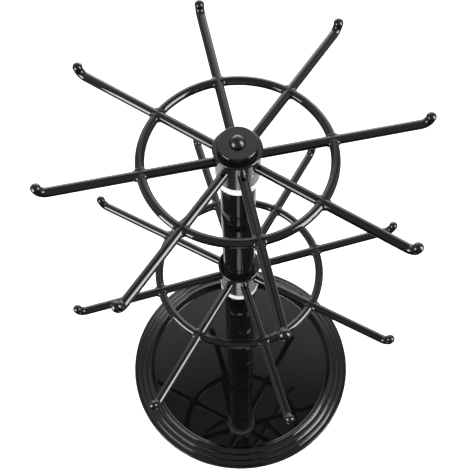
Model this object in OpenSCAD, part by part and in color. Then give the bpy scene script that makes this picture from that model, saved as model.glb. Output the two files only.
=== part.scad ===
// Two-tier turning mug tree. A ridged round base carries a post of stacked cups.
// Two wheels of upturned arms turn freely on sleeves clamped into that post.
// Origin: centre of the face it stands on. +Z is up. Millimetres throughout.

/* [Base] */
// Outer diameter of the round base
base_d = 252; // [200:1:320]
// Diameter of the flat sunken floor of the base
floor_d = 204; // [150:1:260]
// Height of the base's rim above the face it stands on
rim_h = 13; // [10:0.5:20]
// Height of the sunken floor above the face it stands on
floor_h = 6; // [5:0.5:9]
// Thickness of the soft ring under the base
pad_t = 1.5; // [1:0.1:2.5]

/* [Post] */
// Outer diameter of the post
post_d = 30; // [26:0.5:38]
// Height of each stacked cup of the post
cup_h = 48; // [40:1:60]
// Height of the first joint of the post, above the face it stands on
first_joint = 34; // [28:1:50]
// Wall thickness of each cup of the post
cup_wall = 3; // [2.5:0.1:4]
// Rounding of the top edge of each cup
cup_round = 1.5; // [0.5:0.1:2]

/* [Arms] */
// Diameter of the round bar of the arms
arm_d = 8; // [6:0.1:10]
// Distance from the post's axis to the middle of an upturned tip
reach = 158; // [120:1:200]
// Radius of the bend at the tip, at the bar's centre line
tip_bend = 7.6; // [6:0.1:12]
// Diameter of the ball that closes the tip
tip_ball_d = 8.6; // [8:0.1:12]
// Diameter of the ring that braces the arms, at its centre line
brace_d = 154.6; // [100:0.2:220]
// Diameter of the round bar of the bracing ring
brace_bar_d = 7.8; // [5:0.1:9.8]

/* [Tiers] */
// Turn of the lower tier about the post at rest, in degrees
lower_turn = 15.7; // [0:0.1:45]
// Turn of the upper tier about the post at rest, in degrees
upper_turn = 11.4; // [0:0.1:45]
// Diameter of the hub that holds the arms
hub_d = 37; // [33:0.5:46]
// Diameter of the black flange over each hub
flange_d = 40.2; // [36:0.2:50]

/* [Hidden] */
$fn = 96;

black = [0.05, 0.05, 0.055];
steel = [0.62, 0.63, 0.65];
nylon = [0.9, 0.9, 0.88];
soft = [0.13, 0.13, 0.13];

arms = 8;
arm_step = 360 / arms;
arm_r = arm_d / 2;
post_r = post_d / 2;
hub_r = hub_d / 2;
flange_r = flange_d / 2;
base_r = base_d / 2;
floor_r = floor_d / 2;

// Joints of the post, counted up from the first one
function joint(n) = first_joint + n * cup_h;
lower_seat = joint(4);
upper_seat = joint(8);

// Parts of one hub, measured up from the seat it turns on
seat_gap = 0.2;
sleeve_h = 15.5;
arm_ring_h = 14.8;
arm_axis_h = sleeve_h + arm_r;
flange_seat_h = sleeve_h + arm_ring_h + seat_gap;
flange_t = 2.6;
collar_h = 8.3;
collar_d = hub_d - 0.6;
neck_h = cup_h - flange_seat_h - flange_t;
groove = 0.5;

// Spindle and tie rod
spindle_r = 9;
running_gap = 0.05;
rod_r = 4;
rod_hole_r = rod_r + 0.3;
thread_gap = 0.05;
slip_gap = 0.05;
screw_top = first_joint - 12;
countersink_r = rod_r + 4.1;
head_sunk = 0.3;
head_r = countersink_r - head_sunk;
head_h = head_r - rod_r + thread_gap;
arm_root = spindle_r + 4;

// Cup joints
cup_in_r = post_r - cup_wall;
spigot_h = 2;
spigot_r = cup_in_r - 0.05;
cup_top_t = 3;
edge_round = 0.4;
shoulder_r = post_r - 2;

// Cap and nut at the top of the post
cap_base = upper_seat + flange_seat_h + flange_t;
cap_r = post_r + 1.3;
cap_h = 6.4;
dome_r = 6.4;
nut_neck_r = 5.4;
nut_neck_h = 5.4;
rod_top = cap_base + cap_h + 2.4;

// Base rim: three treads step down outward from the crest
treads = 3;
crest_r = floor_r + 5.4;
tread_w = (base_r - crest_r - 1) / treads;
outer_edge_h = pad_t + 2.6;
riser_h = (rim_h - outer_edge_h) / treads;
bead_r = 1.1;

// ---------- base ----------

// Half section of the base: sunken floor, sloping inner wall, stepped rim
module base_section() {
  polygon([
    [0, pad_t],
    [base_r - 0.6, pad_t],
    [base_r, pad_t + 0.6],
    [base_r, outer_edge_h],
    [crest_r + treads * tread_w, outer_edge_h],
    [crest_r + 2 * tread_w + 0.9, outer_edge_h + 0.6],
    [crest_r + 2 * tread_w, outer_edge_h + riser_h],
    [crest_r + tread_w + 0.9, outer_edge_h + riser_h + 0.6],
    [crest_r + tread_w, outer_edge_h + 2 * riser_h],
    [crest_r + 0.9, outer_edge_h + 2 * riser_h + 0.6],
    [crest_r, rim_h],
    [crest_r - 1.6, rim_h],
    [floor_r, floor_h],
    [0, floor_h]
  ]);
  // Rounded lips at the edge of each tread
  translate([crest_r - 0.8, rim_h - 0.75])
    circle(r = bead_r, $fn = 48);
  translate([crest_r + tread_w, outer_edge_h + 2 * riser_h - 0.75])
    circle(r = bead_r, $fn = 48);
  translate([crest_r + 2 * tread_w, outer_edge_h + riser_h - 0.75])
    circle(r = bead_r, $fn = 48);
  translate([base_r - bead_r, outer_edge_h - 0.55])
    circle(r = bead_r, $fn = 48);
}

module base_plate() {
  color(black)
  difference() {
    rotate_extrude()
      base_section();
    // Countersunk hole for the screw, from below
    translate([0, 0, pad_t - 1])
      cylinder(r = rod_hole_r, h = floor_h);
    translate([0, 0, pad_t])
      cylinder(r1 = countersink_r, r2 = rod_hole_r, h = countersink_r - rod_hole_r);
    translate([0, 0, pad_t - 1])
      cylinder(r = countersink_r, h = 1);
  }
}

// Soft ring that the base stands on
module base_pad() {
  color(soft)
  difference() {
    cylinder(r = base_r - 5, h = pad_t);
    translate([0, 0, -1])
      cylinder(r = base_r - 25, h = pad_t + 2);
  }
}

// Countersunk screw that holds the post to the base
module base_screw() {
  color(steel)
  difference() {
    union() {
      translate([0, 0, pad_t + head_sunk])
        cylinder(r1 = head_r, r2 = rod_r - thread_gap, h = head_h);
      translate([0, 0, pad_t + head_sunk + head_h])
        cylinder(r = rod_r - thread_gap, h = screw_top - pad_t - head_sunk - head_h);
    }
    // Hexagon socket in the head
    translate([0, 0, pad_t - 1])
      cylinder(r = 2.9, h = 3.6, $fn = 6);
  }
}

// ---------- post ----------

// Round bar section with a rounded top edge and a lightly rounded bottom edge
module post_profile(r, h) {
  difference() {
    square([r, h]);
    difference() {
      translate([r - cup_round, h - cup_round])
        square([cup_round + 1, cup_round + 1]);
      translate([r - cup_round, h - cup_round])
        circle(r = cup_round, $fn = 48);
    }
    difference() {
      translate([r - edge_round, -1])
        square([edge_round + 1, edge_round + 1]);
      translate([r - edge_round, edge_round])
        circle(r = edge_round, $fn = 48);
    }
  }
}

// Spigot that centres the next cup
module spigot(z) {
  translate([0, 0, z - 0.5])
    cylinder(r = spigot_r, h = spigot_h + 0.5);
}

// Hole for the rod, right through
module rod_hole(z0, z1) {
  translate([0, 0, z0 - 1])
    cylinder(r = rod_hole_r, h = z1 - z0 + 2);
}

// Drawn cup, open below, with a spigot on its closed top
module cup(n) {
  color(black)
  translate([0, 0, joint(n)])
  difference() {
    union() {
      rotate_extrude()
        post_profile(post_r, cup_h);
      spigot(cup_h);
    }
    translate([0, 0, -1])
      cylinder(r = cup_in_r, h = cup_h - cup_top_t + 1);
    rod_hole(0, cup_h + spigot_h);
  }
}

// Cup under a hub: its top is turned down to take the collar
module shoulder_cup(n) {
  color(black)
  translate([0, 0, joint(n)])
  difference() {
    union() {
      rotate_extrude()
        post_profile(post_r, cup_h - collar_h);
      cylinder(r = shoulder_r, h = cup_h);
    }
    translate([0, 0, -1])
      cylinder(r = cup_in_r, h = cup_h - cup_top_t - collar_h + 1);
    rod_hole(0, cup_h);
  }
}

// Short solid foot of the post, tapped for the screw below and the rod above
module foot_socket() {
  color(black)
  difference() {
    union() {
      translate([0, 0, floor_h])
        rotate_extrude()
          post_profile(post_r, first_joint - floor_h);
      spigot(first_joint);
    }
    translate([0, 0, floor_h - 1])
      cylinder(r = rod_r, h = first_joint + spigot_h - floor_h + 2);
  }
}

module post_cup_1() { cup(0); }

module post_cup_2() { cup(1); }

module post_cup_3() { cup(2); }

module lower_shoulder_cup() { shoulder_cup(3); }

module post_cup_5() { cup(5); }

module post_cup_6() { cup(6); }

module upper_shoulder_cup() { shoulder_cup(7); }

// Nylon ring around the turned-down top of a cup; the sleeve turns on it
module collar(seat) {
  color(nylon)
  translate([0, 0, seat - collar_h])
  difference() {
    cylinder(d = collar_d, h = collar_h);
    translate([0, 0, -1])
      cylinder(r = shoulder_r + running_gap, h = collar_h + 2);
  }
}

module lower_collar() { collar(lower_seat); }

module upper_collar() { collar(upper_seat); }

// Steel tube inside the hub; clamped between a cup and a flange
module spindle(seat) {
  color(steel)
  translate([0, 0, seat])
  difference() {
    cylinder(r = spindle_r, h = flange_seat_h);
    rod_hole(0, flange_seat_h);
  }
}

module lower_spindle() { spindle(lower_seat); }

module upper_spindle() { spindle(upper_seat); }

// Black disc over a hub, with a half-round edge
module flange(seat) {
  color(black)
  translate([0, 0, seat + flange_seat_h])
  difference() {
    rotate_extrude()
      union() {
        square([flange_r - flange_t / 2, flange_t]);
        translate([flange_r - flange_t / 2, flange_t / 2])
          circle(d = flange_t, $fn = 48);
      }
    rod_hole(0, flange_t);
  }
}

module lower_flange() { flange(lower_seat); }

module upper_flange() { flange(upper_seat); }

// Short cup that brings the post back to its pitch above the lower hub
module neck_cup() {
  color(black)
  translate([0, 0, joint(5) - neck_h])
  difference() {
    union() {
      rotate_extrude()
        post_profile(post_r, neck_h);
      spigot(neck_h);
    }
    translate([0, 0, -1])
      cylinder(r = cup_in_r, h = neck_h - cup_top_t + 1);
    rod_hole(0, neck_h + spigot_h);
  }
}

// Low round cap that closes the post above the upper flange
module top_cap() {
  color(black)
  translate([0, 0, cap_base])
  difference() {
    rotate_extrude()
      difference() {
        union() {
          square([cap_r - 3.2, cap_h]);
          square([cap_r, cap_h - 3.2]);
          translate([cap_r - 3.2, cap_h - 3.2])
            circle(r = 3.2, $fn = 64);
        }
        translate([-1, -1])
          square([1, cap_h + 2]);
      }
    translate([0, 0, -1])
      cylinder(r = rod_hole_r, h = cap_h + 2);
    translate([0, 0, cap_h - nut_neck_h])
      cylinder(r = nut_neck_r + running_gap, h = nut_neck_h + 1);
  }
}

// Domed nut that clamps the stack; its neck sits inside the cap
module dome_nut() {
  color(black)
  translate([0, 0, cap_base + cap_h])
  difference() {
    union() {
      intersection() {
        sphere(r = dome_r);
        cylinder(r = dome_r + 1, h = dome_r + 1);
      }
      translate([0, 0, -nut_neck_h])
        cylinder(r = nut_neck_r, h = nut_neck_h + 0.5);
    }
    translate([0, 0, -nut_neck_h - 1])
      cylinder(r = rod_r, h = nut_neck_h + 1 + rod_top - cap_base - cap_h);
  }
}

// Rod that runs from the foot to the domed nut
module tie_rod() {
  color(steel)
  translate([0, 0, screw_top])
    cylinder(r = rod_r - thread_gap, h = rod_top - screw_top);
}

// ---------- turning tiers ----------

// Lower half of a hub: plain sleeve that turns on the spindle
module sleeve(seat) {
  color(steel)
  translate([0, 0, seat + seat_gap])
  difference() {
    union() {
      cylinder(r = hub_r, h = sleeve_h - seat_gap - groove);
      cylinder(r = hub_r - groove, h = sleeve_h - seat_gap);
    }
    translate([0, 0, -1])
      cylinder(r = spindle_r + running_gap, h = sleeve_h + 2);
  }
}

// One straight bar along an arm's line, for drilling and trimming
module arm_line(turn, r0, r1, r) {
  rotate([0, 0, turn])
    translate([r0, 0, 0])
      rotate([0, 90, 0])
        cylinder(r = r, h = r1 - r0);
}

// Upper half of a hub, drilled for the arms
module arm_ring(seat, turn) {
  color(steel)
  translate([0, 0, seat])
  difference() {
    translate([0, 0, sleeve_h])
      cylinder(r = hub_r, h = arm_ring_h);
    translate([0, 0, sleeve_h - 1])
      cylinder(r = spindle_r + running_gap, h = arm_ring_h + 2);
    translate([0, 0, arm_axis_h])
      for (k = [0 : arms - 1])
        arm_line(turn + k * arm_step, arm_root, hub_r + 5, arm_r + slip_gap);
  }
}

// Bracing ring: eight bars, each welded between two arms
module brace(seat, turn) {
  color(black)
  translate([0, 0, seat + arm_axis_h])
  difference() {
    rotate_extrude()
      translate([brace_d / 2, 0])
        circle(d = brace_bar_d, $fn = 48);
    for (k = [0 : arms - 1])
      arm_line(turn + k * arm_step, brace_d / 2 - 12, brace_d / 2 + 12, arm_r);
  }
}

// One arm: straight bar from the hub, bent up at the tip and closed by a ball
module arm(seat, turn) {
  color(black)
  translate([0, 0, seat + arm_axis_h])
  rotate([0, 0, turn])
  union() {
    translate([arm_root, 0, 0])
      rotate([0, 90, 0])
        cylinder(r = arm_r, h = reach - tip_bend - arm_root);
    translate([reach - tip_bend, 0, tip_bend])
      rotate([90, 0, 0])
        rotate_extrude(angle = 90, start = 270)
          translate([tip_bend, 0])
            circle(r = arm_r, $fn = 64);
    translate([reach, 0, tip_bend])
      sphere(d = tip_ball_d);
  }
}

module lower_sleeve() { sleeve(lower_seat); }

module lower_arm_ring() { arm_ring(lower_seat, lower_turn); }

module lower_brace() { brace(lower_seat, lower_turn); }

module lower_arm_1() { arm(lower_seat, lower_turn); }

module lower_arm_2() { arm(lower_seat, lower_turn + arm_step); }

module lower_arm_3() { arm(lower_seat, lower_turn + 2 * arm_step); }

module lower_arm_4() { arm(lower_seat, lower_turn + 3 * arm_step); }

module lower_arm_5() { arm(lower_seat, lower_turn + 4 * arm_step); }

module lower_arm_6() { arm(lower_seat, lower_turn + 5 * arm_step); }

module lower_arm_7() { arm(lower_seat, lower_turn + 6 * arm_step); }

module lower_arm_8() { arm(lower_seat, lower_turn + 7 * arm_step); }

module upper_sleeve() { sleeve(upper_seat); }

module upper_arm_ring() { arm_ring(upper_seat, upper_turn); }

module upper_brace() { brace(upper_seat, upper_turn); }

module upper_arm_1() { arm(upper_seat, upper_turn); }

module upper_arm_2() { arm(upper_seat, upper_turn + arm_step); }

module upper_arm_3() { arm(upper_seat, upper_turn + 2 * arm_step); }

module upper_arm_4() { arm(upper_seat, upper_turn + 3 * arm_step); }

module upper_arm_5() { arm(upper_seat, upper_turn + 4 * arm_step); }

module upper_arm_6() { arm(upper_seat, upper_turn + 5 * arm_step); }

module upper_arm_7() { arm(upper_seat, upper_turn + 6 * arm_step); }

module upper_arm_8() { arm(upper_seat, upper_turn + 7 * arm_step); }

// ---------- output ----------
base_plate();
base_pad();
base_screw();
foot_socket();
post_cup_1();
post_cup_2();
post_cup_3();
lower_shoulder_cup();
lower_collar();
lower_spindle();
lower_flange();
neck_cup();
post_cup_5();
post_cup_6();
upper_shoulder_cup();
upper_collar();
upper_spindle();
upper_flange();
top_cap();
dome_nut();
tie_rod();
lower_sleeve();
lower_arm_ring();
lower_brace();
lower_arm_1();
lower_arm_2();
lower_arm_3();
lower_arm_4();
lower_arm_5();
lower_arm_6();
lower_arm_7();
lower_arm_8();
upper_sleeve();
upper_arm_ring();
upper_brace();
upper_arm_1();
upper_arm_2();
upper_arm_3();
upper_arm_4();
upper_arm_5();
upper_arm_6();
upper_arm_7();
upper_arm_8();
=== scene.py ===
"""Turning mug tree: the looks of each piece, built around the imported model, from the base up."""
import math

import bpy
from mathutils import Matrix, Vector


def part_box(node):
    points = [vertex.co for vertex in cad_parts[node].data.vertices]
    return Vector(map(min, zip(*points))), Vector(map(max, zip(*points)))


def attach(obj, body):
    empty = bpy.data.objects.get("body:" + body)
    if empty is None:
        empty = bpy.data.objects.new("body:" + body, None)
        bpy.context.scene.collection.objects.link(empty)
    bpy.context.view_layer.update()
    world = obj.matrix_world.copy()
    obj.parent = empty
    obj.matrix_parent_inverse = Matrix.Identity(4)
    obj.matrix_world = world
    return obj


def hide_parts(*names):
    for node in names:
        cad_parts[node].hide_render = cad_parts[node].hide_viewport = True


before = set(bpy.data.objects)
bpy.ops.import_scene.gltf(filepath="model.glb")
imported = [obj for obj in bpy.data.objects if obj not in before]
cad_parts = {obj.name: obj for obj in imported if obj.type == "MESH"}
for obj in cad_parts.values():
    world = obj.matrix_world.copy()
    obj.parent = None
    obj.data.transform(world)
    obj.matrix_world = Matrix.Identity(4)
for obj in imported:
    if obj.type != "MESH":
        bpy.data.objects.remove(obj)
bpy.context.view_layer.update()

mm = 0.001


# ---- Soft ring under the base ----
# A moulded ring of matt black elastomer, glued under the rim of the base so that it grips the
# worktop. Its lower face has two shallow grooves; all that shows is a dark line under the rim.
class Wire:
    """A socket in a material. Arithmetic on it adds Math nodes; node() adds any other node."""

    def __init__(self, tree, socket=None):
        self.tree = tree
        self.socket = socket

    def node(self, kind, settings, sockets, output=0):
        made = self.tree.nodes.new(kind)
        for name, value in settings.items():
            if name == "stops":
                ramp = made.color_ramp
                while len(ramp.elements) < len(value):
                    ramp.elements.new(0.5)
                for stop, (position, colour) in zip(ramp.elements, value):
                    stop.position = position
                    stop.color = colour
            else:
                setattr(made, name, value)
        for name, value in sockets.items():
            if isinstance(value, Wire):
                self.tree.links.new(value.socket, made.inputs[name])
            else:
                made.inputs[name].default_value = value
        return Wire(self.tree, made.outputs[output])

    def maths(self, operation, first, second=0.0):
        return self.node("ShaderNodeMath", {"operation": operation}, {0: first, 1: second})

    def __add__(self, other):
        return self.maths("ADD", self, other)

    def __rsub__(self, other):
        return self.maths("SUBTRACT", other, self)

    def __mul__(self, other):
        return self.maths("MULTIPLY", self, other)

    __radd__ = __add__
    __rmul__ = __mul__


def new_finish(name, constants):
    """A material, its shader with the values that are the same all over, and the place on it."""
    material = bpy.data.materials.new(name)
    material.use_nodes = True
    tree = material.node_tree
    shader = tree.nodes["Principled BSDF"]
    for socket, value in constants.items():
        shader.inputs[socket].default_value = value
    place = Wire(tree).node("ShaderNodeTexCoord", {}, {}, "Object")
    return material, shader, place


def feed(shader, **varying):
    """Links what varies over the surface to the shader's sockets."""
    for name, wire in varying.items():
        wire.tree.links.new(wire.socket, shader.inputs[name.replace("_", " ")])


def speckle(place, size, detail=2.0):
    """Soft noise whose lumps are about size metres across."""
    return place.node("ShaderNodeTexNoise", {},
                      {"Vector": place, "Scale": 1 / size, "Detail": detail}, "Fac")


def blend_colours(mask, low, high):
    """A colour from low to high as the mask goes from 0 to 1."""
    return mask.node("ShaderNodeMix", {"data_type": "RGBA"},
                     {"Factor": mask, 6: low, 7: high}, 2)


def relief(height, depth):
    """A bump of that depth in metres."""
    return height.node("ShaderNodeBump", {},
                       {"Height": height, "Distance": depth, "Strength": 1.0})


def soft_ring_finish():
    material, shader, place = new_finish("soft_ring", {"Specular IOR Level": 0.3})
    grain = speckle(place, 0.8 * mm, 4.0)
    bloom = speckle(place, 14 * mm)
    colour = blend_colours(bloom, (0.020, 0.020, 0.021, 1), (0.034, 0.034, 0.035, 1))
    feed(shader, Base_Color=colour, Roughness=0.72 + 0.2 * grain,
         Normal=relief(grain, 0.05 * mm))
    return material


def rounded(corners):
    """Points of a closed outline from corners (radius, height, rounding). Two extra points by each
    rounded corner keep the flat next to it flat."""
    hold = 0.12 * mm
    points = []
    for i, (radius, height, rounding) in enumerate(corners):
        corner = Vector((radius, height))
        if rounding == 0:
            points.append(corner)
            continue
        back = Vector(corners[i - 1][:2]) - corner
        ahead = Vector(corners[(i + 1) % len(corners)][:2]) - corner
        room = min(back.length, ahead.length)
        back.normalize()
        ahead.normalize()
        half = back.angle(ahead) / 2
        run = rounding / math.tan(half)
        centre = corner + (back + ahead).normalized() * (rounding / math.sin(half))
        turn = math.pi - 2 * half
        if back.x * ahead.y - back.y * ahead.x > 0:
            turn = -turn
        steps = max(3, round(abs(turn) / math.radians(11)))
        arm = corner + back * run - centre
        if run + hold < room:
            points.append(corner + back * (run + hold))
        for step in range(steps + 1):
            angle = turn * step / steps
            c, s = math.cos(angle), math.sin(angle)
            points.append(centre + Vector((arm.x * c - arm.y * s, arm.x * s + arm.y * c)))
        if run + hold < room:
            points.append(corner + ahead * (run + hold))
    return points


def only(piece):
    """Selects one piece and nothing else."""
    bpy.ops.object.select_all(action="DESELECT")
    piece.select_set(True)
    bpy.context.view_layer.objects.active = piece


def finish_mesh(piece, name, finish):
    """Names a piece, turns its faces outwards, smooths it and gives it its finish."""
    only(piece)
    bpy.ops.object.mode_set(mode="EDIT")
    bpy.ops.mesh.select_all(action="SELECT")
    bpy.ops.mesh.remove_doubles(threshold=0.002 * mm)
    bpy.ops.mesh.normals_make_consistent(inside=False)
    bpy.ops.object.mode_set(mode="OBJECT")
    bpy.ops.object.transform_apply(location=True, rotation=True, scale=True)
    bpy.ops.object.shade_smooth_by_angle(angle=math.radians(40))
    piece.name = name
    piece.data.name = name
    piece.data.materials.clear()
    piece.data.materials.append(finish)
    return piece


def turned(name, outline, finish, around=128, poles=False):
    """A piece turned round the post's axis: a circle is pulled through the outline's points,
    (radius, height), and closes on itself, or at a pole at each end."""
    radius, height = outline[0]
    rest = outline[1:] if poles else list(outline[1:]) + [outline[0]]
    bpy.ops.object.select_all(action="DESELECT")
    bpy.ops.mesh.primitive_circle_add(vertices=around, radius=radius, location=(0, 0, height))
    piece = bpy.context.active_object
    bpy.ops.object.mode_set(mode="EDIT")
    if poles:
        bpy.ops.mesh.edge_face_add()
        bpy.ops.mesh.poke()
        bpy.ops.mesh.select_all(action="DESELECT")
        bpy.ops.mesh.select_non_manifold()
    for next_radius, next_height in rest:
        bpy.ops.mesh.extrude_edges_move(
            TRANSFORM_OT_translate={"value": (0, 0, next_height - height)})
        grow = next_radius / radius
        bpy.ops.transform.resize(value=(grow, grow, 1), center_override=(0, 0, next_height))
        radius, height = next_radius, next_height
    if poles:
        bpy.ops.mesh.edge_face_add()
        bpy.ops.mesh.poke()
    bpy.ops.object.mode_set(mode="OBJECT")
    return finish_mesh(piece, name, finish)


soft_ring = soft_ring_finish()
pad_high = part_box("base_pad")[1]
pad_out = pad_high.x
pad_in = pad_out - 20 * mm
pad_top = pad_high.z
groove_out, groove_in = pad_out - 6 * mm, pad_out - 12 * mm
groove_w, groove_d = 1.6 * mm, 0.5 * mm
pad = turned("grip_ring", rounded([
    (pad_in, pad_top, 0),
    (pad_in, 0, 0.4 * mm),
    (groove_in, 0, 0.15 * mm),
    (groove_in, groove_d, 0),
    (groove_in + groove_w, groove_d, 0),
    (groove_in + groove_w, 0, 0.15 * mm),
    (groove_out, 0, 0.15 * mm),
    (groove_out, groove_d, 0),
    (groove_out + groove_w, groove_d, 0),
    (groove_out + groove_w, 0, 0.15 * mm),
    (pad_out, 0, 0.4 * mm),
    (pad_out, pad_top, 0),
]), soft_ring, around=192)
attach(pad, "stand")
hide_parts("base_pad")


# ---- Base ----
# A heavy round steel pressing in high-gloss black enamel. Three treads with rolled lips step down
# to the outer edge; inside the crest a sloping wall drops to the flat sunken floor.
def black_enamel_finish(name, roughness):
    material, shader, place = new_finish(name, {"IOR": 1.5})
    peel = speckle(place, 9 * mm, 0.0)
    haze = speckle(place, 26 * mm, 3.0)
    colour = blend_colours(haze, (0.0012, 0.0012, 0.0013, 1), (0.0026, 0.0026, 0.0028, 1))
    feed(shader, Base_Color=colour, Roughness=roughness + 0.02 * haze,
         Normal=relief(peel, 0.002 * mm))
    return material


def arc(centre, radius, start, end, steps):
    """Points of an arc in a turned piece's outline, angles in degrees from outwards."""
    angles = [math.radians(start + (end - start) * i / steps) for i in range(steps + 1)]
    return [centre + radius * Vector((math.cos(a), math.sin(a))) for a in angles]


black_enamel = black_enamel_finish("black_enamel", 0.02)
plate_low, plate_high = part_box("base_plate")
base_r = plate_high.x
under = plate_low.z
floor_top = 6 * mm
floor_r = 102 * mm
lip_r = 1.1 * mm
crest_lip = Vector((106.6 * mm, plate_high.z - lip_r))
edge_lip = Vector((base_r - lip_r, under + 2.05 * mm))
tread_w = 5.87 * mm
riser = 2.97 * mm
overhang = 0.8 * mm
tuck = -50                      # degrees: how far each lip rolls under itself
lips = [edge_lip,
        crest_lip + Vector((2 * tread_w + overhang, -2 * riser)),
        crest_lip + Vector((tread_w + overhang, -riser)),
        crest_lip]
screw_head_r, screw_head_h = 8.1 * mm, 3.8 * mm
screw_hole = 4.3 * mm
floor_loop_out, floor_loop_in = 60 * mm, 16 * mm
outline = rounded([(screw_head_r, under, 0), (base_r, under, 0.6 * mm),
                   (base_r, edge_lip.y, 0)])[:-1]
for lip, above in zip(lips, lips[1:]):
    outline += arc(lip, lip_r, tuck if lip is not edge_lip else 0, 142, 14)
    outline += [lip + Vector((-1.5 * mm, 0.62 * mm)),
                above + Vector((1.15 * mm, -1.75 * mm)),
                above + Vector((0.92 * mm, -1.60 * mm)),
                above + Vector((overhang, -1.35 * mm))]
outline += arc(crest_lip, lip_r, tuck, 151.5, 16)
outline += rounded([
    (crest_lip.x - 0.97 * mm, crest_lip.y + 0.52 * mm, 0),
    (floor_r, floor_top, 1.4 * mm),
    (floor_loop_out, floor_top, 0)])[1:]
outline += [Vector((floor_loop_in, floor_top)), Vector((screw_hole, floor_top)),
            Vector((screw_hole, under + screw_head_h))]
base = turned("base_pressing", outline, black_enamel, around=256)
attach(base, "stand")
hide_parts("base_plate")


# ---- Screw, tie rod and spindles ----
# A countersunk zinc-plated screw holds the post's foot to the base from below. A plated rod runs up
# the post to the domed nut, through the plated spindles on which the hubs turn. None of them shows
# once the tree stands.
def zinc_plate_finish():
    material, shader, place = new_finish("zinc_plate", {"Metallic": 1.0})
    bloom = speckle(place, 5 * mm, 3.0)
    grain = speckle(place, 0.5 * mm)
    colour = blend_colours(bloom, (0.55, 0.56, 0.58, 1), (0.72, 0.73, 0.74, 1))
    feed(shader, Base_Color=colour, Roughness=0.24 + 0.16 * grain,
         Normal=relief(grain, 0.01 * mm))
    return material


zinc_plate = zinc_plate_finish()
for node in ("base_screw", "tie_rod", "lower_spindle", "upper_spindle"):
    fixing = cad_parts[node]
    fixing.data.materials.clear()
    fixing.data.materials.append(zinc_plate)


# ---- Foot and stacked cups of the post ----
# The post is a stack of deep-drawn steel cups in the same gloss black. The top of each is drawn in
# a little, with a rounded edge and a spigot that centres the next. A solid foot starts the stack.
wall = 3 * mm
top_round, foot_round = 2.4 * mm, 0.5 * mm
draw_in, draw_run = 0.8 * mm, 15 * mm
spigot_h = 2 * mm
spigot_play = 0.05 * mm
rod_hole = 4.3 * mm
foot_hole = 4 * mm


def drawn_in(radius, high, steps=6):
    """The top of a cup's side, drawn in by the press, and its rounded edge."""
    parts = [i / steps for i in range(steps)]
    side = [(radius - draw_in * t ** 2, high - draw_run * (1 - t), 0) for t in parts]
    return side + [(radius - draw_in, high, top_round)]


def cup_outline(low, high, radius):
    """Section of one cup, open below, with its spigot."""
    inside = radius - wall
    return rounded([
        (inside, low, 0.3 * mm),
        (radius, low, foot_round),
        *drawn_in(radius, high),
        (inside - spigot_play, high, 0),
        (inside - spigot_play, high + spigot_h, 0.4 * mm),
        (rod_hole, high + spigot_h, 0),
        (rod_hole, high - wall, 0),
        (inside, high - wall, 0.8 * mm),
    ])


def copy_of(piece, name, lift=0.0, angle=0.0):
    """A copy with its own mesh, lifted and turned about the post."""
    made = piece.copy()
    made.data = piece.data.copy()
    bpy.context.collection.objects.link(made)
    made.location.z = lift
    made.rotation_euler.z = angle
    only(made)
    bpy.ops.object.transform_apply(location=True, rotation=True, scale=True)
    made.name = name
    made.data.name = name
    return made


foot_low, foot_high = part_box("foot_socket")
post_r = foot_high.x
foot = turned("post_foot", rounded([
    (foot_hole, foot_low.z, 0),
    (post_r, foot_low.z, foot_round),
    *drawn_in(post_r, foot_high.z - spigot_h),
    (post_r - wall - spigot_play, foot_high.z - spigot_h, 0),
    (post_r - wall - spigot_play, foot_high.z, 0.4 * mm),
    (foot_hole, foot_high.z, 0),
]), black_enamel)
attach(foot, "stand")
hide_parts("foot_socket")

first_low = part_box("post_cup_1")[0].z
first_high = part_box("post_cup_2")[0].z      # the first cup's side ends where the next begins
first_cup = turned("cup_1", cup_outline(first_low, first_high, post_r), black_enamel)
for number in (1, 2, 3, 5, 6):
    node = f"post_cup_{number}"
    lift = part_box(node)[0].z - first_low
    cup = first_cup if number == 1 else copy_of(first_cup, f"cup_{number}", lift)
    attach(cup, "stand")
    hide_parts(node)


# ---- Cups under the hubs, and their white rings ----
# The cup under each hub is turned down at the top and takes a ring of white nylon, flush with the
# hub's steel drum. The drum turns against the top of this ring.
def white_nylon_finish():
    material, shader, place = new_finish("white_nylon", {
        "IOR": 1.5, "Subsurface Weight": 0.25, "Subsurface Scale": 0.8 * mm,
        "Subsurface Radius": (1, 1, 1)})
    cloud = speckle(place, 9 * mm, 3.0)
    grain = speckle(place, 0.35 * mm)
    colour = blend_colours(cloud, (0.42, 0.42, 0.41, 1), (0.52, 0.52, 0.51, 1))
    feed(shader, Base_Color=colour, Roughness=0.34 + 0.16 * grain,
         Normal=relief(grain, 0.006 * mm))
    return material


white_nylon = white_nylon_finish()
neck_r = post_r - 2 * mm
collar_play = 0.05 * mm
inside = post_r - wall
for tier in ("lower", "upper"):
    low, seat = [corner.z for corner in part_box(f"{tier}_shoulder_cup")]
    ring_low, ring_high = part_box(f"{tier}_collar")
    shoulder = ring_low.z
    cup = turned(f"{tier}_seat_cup", rounded([
        (inside, low, 0.3 * mm),
        (post_r, low, foot_round),
        (post_r, shoulder, 0.5 * mm),
        (neck_r, shoulder, 0),
        (neck_r, seat, 0.5 * mm),
        (rod_hole, seat, 0),
        (rod_hole, shoulder - wall, 0),
        (inside, shoulder - wall, 0.8 * mm),
    ]), black_enamel)
    ring = turned(f"{tier}_nylon_ring", rounded([
        (neck_r + collar_play, shoulder, 0),
        (ring_high.x, shoulder, 0.6 * mm),
        (ring_high.x, seat, 0.4 * mm),
        (neck_r + collar_play, seat, 0),
    ]), white_nylon)
    for piece, node, slot in ((cup, f"{tier}_shoulder_cup", "black_gloss"),
                              (ring, f"{tier}_collar", "white_nylon")):
        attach(piece, "stand")
        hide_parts(node)


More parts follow.
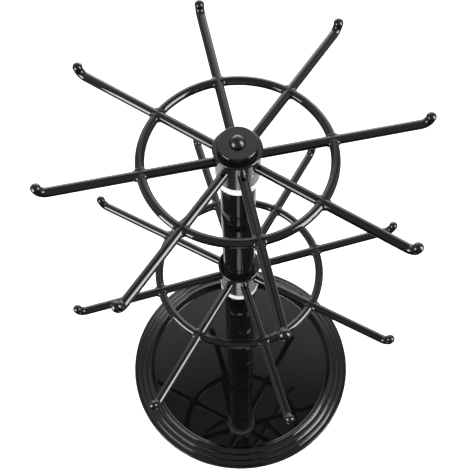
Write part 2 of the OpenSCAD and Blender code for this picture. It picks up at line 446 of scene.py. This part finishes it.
# ---- Steel hubs ----
# Each wheel turns on a drum of bare steel, finished on the lathe, so fine rings run round it.
# The drum is a plain lower sleeve and an upper ring drilled for the eight arms.
def turned_steel_finish():
    material, shader, place = new_finish("turned_steel", {"Metallic": 1.0})
    stretched = place.node("ShaderNodeMapping", {}, {"Vector": place, "Scale": (14, 14, 900)})
    lines = stretched.node("ShaderNodeTexNoise", {},
                           {"Vector": stretched, "Scale": 6.0, "Detail": 3.0}, "Fac")
    bloom = speckle(place, 9 * mm, 4.0)
    colour = blend_colours(0.65 * lines + 0.35 * bloom,
                           (0.32, 0.323, 0.33, 1), (0.56, 0.563, 0.57, 1))
    feed(shader, Base_Color=colour, Roughness=0.13 + 0.14 * lines,
         Normal=relief(lines, 0.02 * mm))
    return material


def arm_angle(node):
    """The direction in which an arm points, from the place of its tip."""
    low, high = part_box(node)
    far = [h - tip_r if abs(h) > abs(l) else l + tip_r for l, h in zip(low, high)]
    return math.atan2(far[1], far[0])


turned_steel = turned_steel_finish()
tip_r = 4.3 * mm
arm_r = 4 * mm
arm_root = 13 * mm
bore = 9.05 * mm
groove = 0.5 * mm
drill_run = 12 * mm
for tier in ("lower", "upper"):
    sleeve_low, sleeve_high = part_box(f"{tier}_sleeve")
    ring_low, ring_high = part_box(f"{tier}_arm_ring")
    hub_r = sleeve_high.x
    sleeve = turned(f"{tier}_drum_sleeve", rounded([
        (bore, sleeve_low.z, 0),
        (hub_r, sleeve_low.z, 0.4 * mm),
        (hub_r, sleeve_high.z - groove, 0.12 * mm),
        (hub_r - groove, sleeve_high.z - groove, 0),
        (hub_r - groove, sleeve_high.z, 0),
        (bore, sleeve_high.z, 0),
    ]), turned_steel)
    ring = turned(f"{tier}_drum_ring", rounded([
        (bore, ring_low.z, 0),
        (hub_r, ring_low.z, 0.2 * mm),
        (hub_r, ring_high.z, 0.4 * mm),
        (bore, ring_high.z, 0),
    ]), turned_steel)
    axis_z = ring_low.z + arm_r
    for number in range(1, 9):
        angle = arm_angle(f"{tier}_arm_{number}")
        bpy.ops.object.select_all(action="DESELECT")
        bpy.ops.mesh.primitive_cylinder_add(
            vertices=48, radius=arm_r, depth=drill_run, rotation=(0, math.pi / 2, 0),
            location=(arm_root + drill_run / 2, 0, axis_z))
        drill = bpy.context.active_object
        bpy.ops.object.transform_apply(location=True, rotation=True)
        drill.rotation_euler.z = angle
        bore_hole = ring.modifiers.new("drill", "BOOLEAN")
        bore_hole.operation = "DIFFERENCE"
        bore_hole.solver = "EXACT"
        bore_hole.object = drill
        only(ring)
        bpy.ops.object.modifier_apply(modifier=bore_hole.name)
        bpy.data.objects.remove(drill)
    finish_mesh(ring, f"{tier}_drum_ring", turned_steel)
    for piece, node in ((sleeve, f"{tier}_sleeve"), (ring, f"{tier}_arm_ring")):
        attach(piece, f"{tier}_tier")
        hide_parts(node)


# ---- Arms ----
# Sixteen straight bars of round steel rod, bent up at the tip and closed by a ball, welded into
# the drum and dipped in the same gloss black enamel as the rest.
tip_low, tip_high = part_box("upper_arm_1")
tip_bend = 7.6 * mm
reach = math.hypot(*[max(abs(a), abs(b)) - tip_r for a, b in zip(tip_low[:2], tip_high[:2])])
axis_z = tip_low.z + arm_r
arm_sides, arm_bays = 40, 6
bend_steps, ball_steps = 14, 14
bpy.ops.object.select_all(action="DESELECT")
bpy.ops.mesh.primitive_circle_add(vertices=arm_sides, radius=arm_r, location=(arm_root, 0, axis_z),
                                  rotation=(0, math.pi / 2, 0))
bar = bpy.context.active_object
bpy.ops.object.transform_apply(location=True, rotation=True)
bpy.ops.object.mode_set(mode="EDIT")
bpy.ops.mesh.edge_face_add()
bpy.ops.mesh.poke()
bpy.ops.mesh.select_all(action="DESELECT")
bpy.ops.mesh.select_non_manifold()
bay = (reach - tip_bend - arm_root) / arm_bays
for _ in range(arm_bays):
    bpy.ops.mesh.extrude_edges_move(TRANSFORM_OT_translate={"value": (bay, 0, 0)})
bpy.ops.mesh.spin(steps=bend_steps, angle=math.pi / 2, axis=(0, 1, 0),
                  center=(reach - tip_bend, 0, axis_z + tip_bend))
ball_z = axis_z + tip_bend
radius, height = arm_r, ball_z
for step in range(ball_steps):
    angle = step / (ball_steps - 0.5) * math.pi / 2
    next_radius, next_height = tip_r * math.cos(angle), ball_z + tip_r * math.sin(angle)
    bpy.ops.mesh.extrude_edges_move(TRANSFORM_OT_translate={"value": (0, 0, next_height - height)})
    grow = next_radius / radius
    bpy.ops.transform.resize(value=(grow, grow, 1), center_override=(reach, 0, next_height))
    radius, height = next_radius, next_height
bpy.ops.mesh.edge_face_add()
bpy.ops.mesh.poke()
bpy.ops.object.mode_set(mode="OBJECT")
first_arm = finish_mesh(bar, "upper_bar_1", black_enamel)
for tier in ("upper", "lower"):
    for number in range(1, 9):
        node = f"{tier}_arm_{number}"
        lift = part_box(node)[0].z - tip_low.z
        made = copy_of(first_arm, f"{tier}_bar_{number}", lift, arm_angle(node))
        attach(made, f"{tier}_tier")
        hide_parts(node)
bpy.data.objects.remove(first_arm)


# ---- Bracing rings ----
# A ring of slightly thinner rod stiffens each wheel half-way along the arms. It is eight bent bars
# in the plane of the arms, each coped to two arms and welded, with a fillet in the corners.
bar_r = 3.9 * mm
fillet = 2.2 * mm
brace_low, brace_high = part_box("upper_brace")
brace_r = brace_high.x - bar_r
plane = (brace_low.z + brace_high.z) / 2


def swell(along):
    """How much wider the bar is where it flows into the arm, at a distance from the arm's axis."""
    past = min(max(arm_r + fillet - along, 0), fillet)
    return 1 + (fillet - math.sqrt(fillet ** 2 - past ** 2)) / bar_r


eighth = math.pi / 4
stations = [0.0, 2.0, 3.4, 3.9, 4.05, 4.2, 4.4, 4.65, 4.95, 5.3, 5.7, 6.2]   # mm from the arm
near_arm = [along * mm / brace_r for along in stations]
half_steps = 15
step = (eighth / 2 - near_arm[-1]) / half_steps
turns = near_arm + [eighth / 2 + i * step for i in range(1 - half_steps, half_steps)]
turns += [eighth - angle for angle in reversed(near_arm)]
cope_r = arm_r - 0.02 * mm
width = swell(0)
bpy.ops.object.select_all(action="DESELECT")
bpy.ops.mesh.primitive_circle_add(vertices=arm_sides, radius=bar_r, location=(brace_r, 0, plane),
                                  rotation=(math.pi / 2, 0, 0))
bar = bpy.context.active_object
bar.scale = (width, 1, 1)
bpy.ops.object.transform_apply(location=True, rotation=True, scale=True)
bpy.ops.object.mode_set(mode="EDIT")
bpy.ops.mesh.edge_face_add()
bpy.ops.mesh.select_all(action="DESELECT")
bpy.ops.mesh.select_non_manifold()
for before, after in zip(turns, turns[1:]):
    bpy.ops.mesh.spin(steps=1, angle=after - before, center=(0, 0, plane), axis=(0, 0, -1))
    next_width = swell(min(after, eighth - after) * brace_r)
    middle = (brace_r * math.cos(after), brace_r * math.sin(after), plane)
    bpy.ops.transform.resize(value=(next_width / width, next_width / width, 1),
                             center_override=middle)
    width = next_width
bpy.ops.mesh.edge_face_add()
bpy.ops.object.mode_set(mode="OBJECT")
finish_mesh(bar, "brace_bar", black_enamel)
for angle in (0, eighth):
    bpy.ops.object.select_all(action="DESELECT")
    bpy.ops.mesh.primitive_cylinder_add(vertices=2 * arm_sides, radius=cope_r, depth=30 * mm,
                                        rotation=(0, math.pi / 2, 0), location=(brace_r, 0, plane))
    cope = bpy.context.active_object
    bpy.ops.object.transform_apply(location=True, rotation=True)
    cope.rotation_euler.z = angle
    cut = bar.modifiers.new("cope", "BOOLEAN")
    cut.operation = "DIFFERENCE"
    cut.solver = "EXACT"
    cut.object = cope
    only(bar)
    bpy.ops.object.modifier_apply(modifier=cut.name)
    bpy.data.objects.remove(cope)
for tier in ("lower", "upper"):
    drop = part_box(f"{tier}_brace")[0].z - brace_low.z
    start = arm_angle(f"{tier}_arm_1")
    bars = [copy_of(bar, f"{tier}_brace_{i}", drop, start + i * eighth) for i in range(8)]
    bpy.ops.object.select_all(action="DESELECT")
    for each in bars:
        each.select_set(True)
    bpy.context.view_layer.objects.active = bars[0]
    bpy.ops.object.join()
    brace = finish_mesh(bpy.context.active_object, f"{tier}_brace_ring", black_enamel)
    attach(brace, f"{tier}_tier")
    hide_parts(f"{tier}_brace")
bpy.data.objects.remove(bar)


# ---- Flanges and neck ----
# A black disc with a half-round edge covers each hub and is clamped by the post. Above the lower
# one a short cup brings the stack back to its pitch.
for tier in ("lower", "upper"):
    disc_low, disc_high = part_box(f"{tier}_flange")
    edge = (disc_high.z - disc_low.z) / 2 - 0.01 * mm
    disc = turned(f"{tier}_hub_disc", rounded([
        (rod_hole, disc_low.z, 0),
        (disc_high.x, disc_low.z, edge),
        (disc_high.x, disc_high.z, edge),
        (rod_hole, disc_high.z, 0),
    ]), black_enamel)
    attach(disc, "stand")
    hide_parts(f"{tier}_flange")
neck_low, neck_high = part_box("neck_cup")
neck = turned("neck_ring", cup_outline(neck_low.z, neck_high.z - spigot_h, post_r), black_enamel)
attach(neck, "stand")
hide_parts("neck_cup")


# ---- Cap and domed nut ----
# A low round cap in the gloss enamel closes the post over the upper disc. A domed nut in satin
# black is screwed on the tie rod and clamps the whole stack.
cap_low, cap_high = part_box("top_cap")
nut_neck = 5.4 * mm
nut_play = 0.05 * mm
cap = turned("crown_cap", rounded([
    (rod_hole, cap_low.z, 0),
    (cap_high.x, cap_low.z, 0.3 * mm),
    (cap_high.x, cap_high.z, 1.1 * mm),
    (nut_neck + nut_play, cap_high.z, 0.3 * mm),
    (nut_neck + nut_play, cap_high.z - nut_neck, 0),
    (rod_hole, cap_high.z - nut_neck, 0),
]), black_enamel)
nut_low, nut_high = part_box("dome_nut")
dome_r = nut_high.x
dome = [Vector((0.5 * mm, nut_low.z + 0.01 * mm)), Vector((4 * mm, nut_low.z)),
        Vector((nut_neck, nut_low.z)), Vector((nut_neck, cap_high.z))]
dome += arc(Vector((0, cap_high.z)), dome_r, 0, 87, 18)
black_satin = black_enamel_finish("black_satin", 0.25)
nut = turned("domed_nut", dome, black_satin, around=96, poles=True)
for piece, node in ((cap, "top_cap"), (nut, "dome_nut")):
    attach(piece, "stand")
    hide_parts(node)


# ---- Floor, lights and camera ----
# A plain pale floor and a soft studio: two soft boxes beside the tree, a wall behind that glows
# and fades upwards, and a table that only glows: a painted pool of light, with painted shade close
# to the base and in front of it and a painted light strip before the post. The room and the
# table's painted light and shade show only as reflections in the enamel and the steel.
def grey(level):
    return (level, level, level, 1)


def stage_only(thing, name, **seen_by):
    """Names a stage thing, and says which rays meet it."""
    thing.name = name
    for ray in ("camera", "diffuse", "glossy", "transmission", "shadow", "volume_scatter"):
        setattr(thing, "visible_" + ray, seen_by.get(ray, False))


def glow_finish(name):
    """A finish that only glows."""
    material, shader, place = new_finish(name, {
        "Base Color": grey(0), "Roughness": 1.0, "Specular IOR Level": 0.0,
        "Emission Strength": 1.0})
    material.cycles.emission_sampling = "NONE"
    return material, shader, place


def along(vector, axis):
    return vector.node("ShaderNodeSeparateXYZ", {}, {"Vector": vector}, axis)


def between(wire, start, end, low=0.0, high=1.0):
    """A smooth step from low to high as the wire goes from start to end."""
    return wire.node("ShaderNodeMapRange", {"interpolation_type": "SMOOTHSTEP"}, {
        "Value": wire, "From Min": start, "From Max": end, "To Min": low, "To Max": high})


bpy.ops.object.select_all(action="DESELECT")
bpy.ops.mesh.primitive_plane_add(size=6, location=(0, 0, 0))
floor = bpy.context.active_object
stage_only(floor, "studio_floor", camera=True, diffuse=True, shadow=True)
paper, paper_shader, place = new_finish("white_paper", {
    "Roughness": 0.9, "Emission Color": grey(1), "Emission Strength": 0.45})
feed(paper_shader, Base_Color=blend_colours(speckle(place, 0.2), grey(0.84), grey(0.86)))
floor.data.materials.append(paper)
paper.cycles.emission_sampling = "NONE"

room_r = 2.8
wall_glow = 5.5
fade_stops = [(0.00, 1.00), (0.34, 0.80), (0.57, 0.48), (0.71, 0.34), (0.82, 0.27),
              (0.88, 0.19), (0.91, 0.13), (0.94, 0.04), (1.00, 0.02)]
bpy.ops.object.select_all(action="DESELECT")
bpy.ops.mesh.primitive_uv_sphere_add(segments=96, ring_count=48, radius=room_r)
room = bpy.context.active_object
stage_only(room, "studio_room", glossy=True)
glow, glow_shader, place = glow_finish("studio_glow")
gaze = place.node("ShaderNodeVectorMath", {"operation": "NORMALIZE"}, {0: place})
right, behind, above = [along(gaze, axis) for axis in "XYZ"]
level = gaze.maths("SQRT", right * right + behind * behind)
to_back = gaze.maths("DIVIDE", behind, level)
fade = above.node("ShaderNodeValToRGB", {
    "stops": [(height, grey(share)) for height, share in fade_stops]}, {"Fac": above})
wall_light = between(to_back, 0.55, 1.02) * fade
side_light = between(to_back, -0.4, 0.3, 0.07, 0.15) * between(to_back, 0.3, 0.8, 1.0, 0.0)
feed(glow_shader, Emission_Color=blend_colours(side_light + wall_light, grey(0), grey(wall_glow)))
room.data.materials.append(glow)

bpy.ops.object.select_all(action="DESELECT")
bpy.ops.mesh.primitive_plane_add(size=5, location=(0, 0, 0))
table = bpy.context.active_object
stage_only(table, "studio_table", glossy=True)
# The table's glow is painted light: a pool brighter near the tree and dimmer further out.
painted_table_glow, painted_table_glow_shader, place = glow_finish("table_painted_light")
across, away = along(place, "X"), along(place, "Y")
spread = place.maths("SQRT", across * across + away * away)
ahead = place.maths("DIVIDE", away, spread)
painted_light_pool = between(spread, 0.20, 0.48, 0.90, 0.30)
# Painted shade on the table: a ring close round the base, open at the back, and a wedge in front,
# except a painted light strip straight in front of the post.
painted_shade_ring = between(spread, 0.280, 0.255) * between(spread, 0.135, 0.150)
painted_shade_near = between(ahead, 0.55, 0.40) * painted_shade_ring
painted_shade_front = between(ahead, -0.45, -0.65)
painted_light_strip = between(place.maths("ABSOLUTE", across), 0.042, 0.036) * between(away, 0.0, -0.02)
painted_shade = place.maths("MAXIMUM", painted_shade_near, painted_shade_front) * (1 - painted_light_strip)
feed(painted_table_glow_shader, Emission_Color=blend_colours(painted_light_pool * (1 - 0.96 * painted_shade), grey(0), grey(1)))
table.data.materials.append(painted_table_glow)

world = bpy.data.worlds.new("studio")
bpy.context.scene.world = world
world.use_nodes = True
world.node_tree.nodes["Background"].inputs["Color"].default_value = grey(1)


def soft_box(name, azimuth, distance, width, height, middle, radiance):
    """An upright soft box beside the tree, turned towards the post, with an even glow."""
    lamp = bpy.data.lights.new(name, "AREA")
    lamp.shape = "RECTANGLE"
    lamp.size, lamp.size_y = width, height
    lamp.energy = radiance * math.pi * width * height
    made = bpy.data.objects.new(name, lamp)
    bpy.context.collection.objects.link(made)
    made.visible_camera = False
    angle = math.radians(azimuth)
    out = Vector((math.sin(angle), -math.cos(angle), 0))
    made.location = out * distance + Vector((0, 0, middle))
    made.rotation_euler = out.to_track_quat("Z", "Y").to_euler()


soft_box("left_box", -55, 0.62, 0.36, 0.44, 0.50, 13)
soft_box("right_box", 71, 0.71, 0.40, 0.86, 0.80, 13)

camera = bpy.data.objects.new("camera", bpy.data.cameras.new("camera"))
bpy.context.collection.objects.link(camera)
camera.data.sensor_width = 36
camera.data.lens = 70.92
tilt = Matrix.Rotation(math.radians(90 - 60.32), 4, "X")
roll = Matrix.Rotation(math.radians(-0.79), 4, "Z")
pan = Matrix.Rotation(math.radians(0.2285), 4, "Y")
camera.matrix_world = Matrix.Translation((0, -0.4142, 1.0412)) @ tilt @ roll @ pan
bpy.context.scene.camera = camera
bpy.context.scene.view_settings.view_transform = "Standard"
